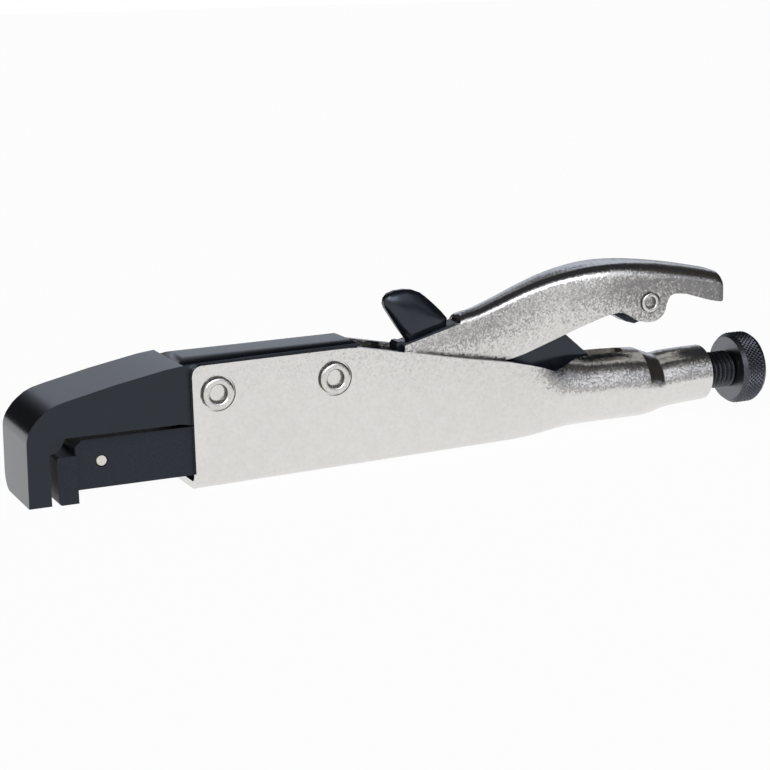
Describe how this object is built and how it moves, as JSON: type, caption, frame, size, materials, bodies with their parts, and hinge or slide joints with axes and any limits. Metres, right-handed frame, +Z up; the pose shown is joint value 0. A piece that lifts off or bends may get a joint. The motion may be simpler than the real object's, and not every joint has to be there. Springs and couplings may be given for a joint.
{
  "type": "body locking pliers",
  "caption": "Slim in-line locking pliers for sheet metal: a hooked fixed jaw, a sliding jaw, a toggle lever with a thumb release and a knurled adjusting screw.",
  "frame": {"origin": "centre of the fixed jaw's gripping face, on the adjusting screw's axis", "axes": "+X from the jaws back along the screw to the knob, +Z up towards the lever, +Y across the width"},
  "size_m": [0.2468, 0.028, 0.054],
  "materials": {
    "nickel": "satin, grainy nickel plating",
    "black_steel": "gloss black oxide",
    "black_plate": "satin black oxide",
    "black_screw": "satin black oxide, knurled",
    "rivet": "nickel plated",
    "pin": "plain ground steel"
  },
  "bodies": {
    "frame": {"body_channel": "nickel", "fixed_jaw": "black_steel", "front_jaw_rivet": "rivet", "rear_jaw_rivet": "rivet"},
    "screw_seat": {"thrust_button": "pin"},
    "screw": {"adjusting_screw": "black_screw"},
    "link": {"toggle_link": "black_plate"},
    "handle": {"lever": "nickel", "link_pin": "pin", "release_rivet": "rivet", "release_spacer": "pin", "release_spring": "pin"},
    "release": {"release_lever": "black_plate"},
    "moving_jaw": {"slide_bar": "black_steel", "jaw_pad": "black_steel", "pad_pin": "pin", "lever_pivot_pin": "pin"}
  },
  "joints": [
    {"name": "screw_advance", "type": "slide", "parent": "frame", "child": "screw_seat", "axis": [1, 0, 0], "range_m": [-0.00245, 0.00385]},
    {"name": "screw_turn", "type": "hinge", "parent": "screw_seat", "child": "screw", "pos_m": [0.18597, 0, 0], "axis": [1, 0, 0], "range_deg": [-506, 794]},
    {"name": "toggle", "type": "hinge", "parent": "screw_seat", "child": "link", "pos_m": [0.18597, 0, 0], "axis": [0, 1, 0], "range_deg": [0, 35]},
    {"name": "link_on_lever", "type": "hinge", "parent": "link", "child": "handle", "pos_m": [0.14799, 0, -0.001], "axis": [0, 1, 0], "range_deg": [-70.5, 0.5]},
    {"name": "lever_on_bar", "type": "hinge", "parent": "handle", "child": "moving_jaw", "pos_m": [0.11, 0, 0], "axis": [0, 1, 0], "range_deg": [-0.5, 35.5]},
    {"name": "release_press", "type": "hinge", "parent": "handle", "child": "release", "pos_m": [0.19649, 0, 0.02679], "axis": [0, 1, 0], "range_deg": [-2.5, 0], "stiffness_Nm_per_rad": 0.3, "springref_deg": 34.38}
  ],
  "couplings": [
    {"joint": "screw_turn", "follows": "screw_advance", "rad_per_m": 3590.4},
    {"joint": "link_on_lever", "follows": "toggle", "ratio": -2},
    {"joint": "lever_on_bar", "follows": "toggle", "ratio": 1}
  ]
}
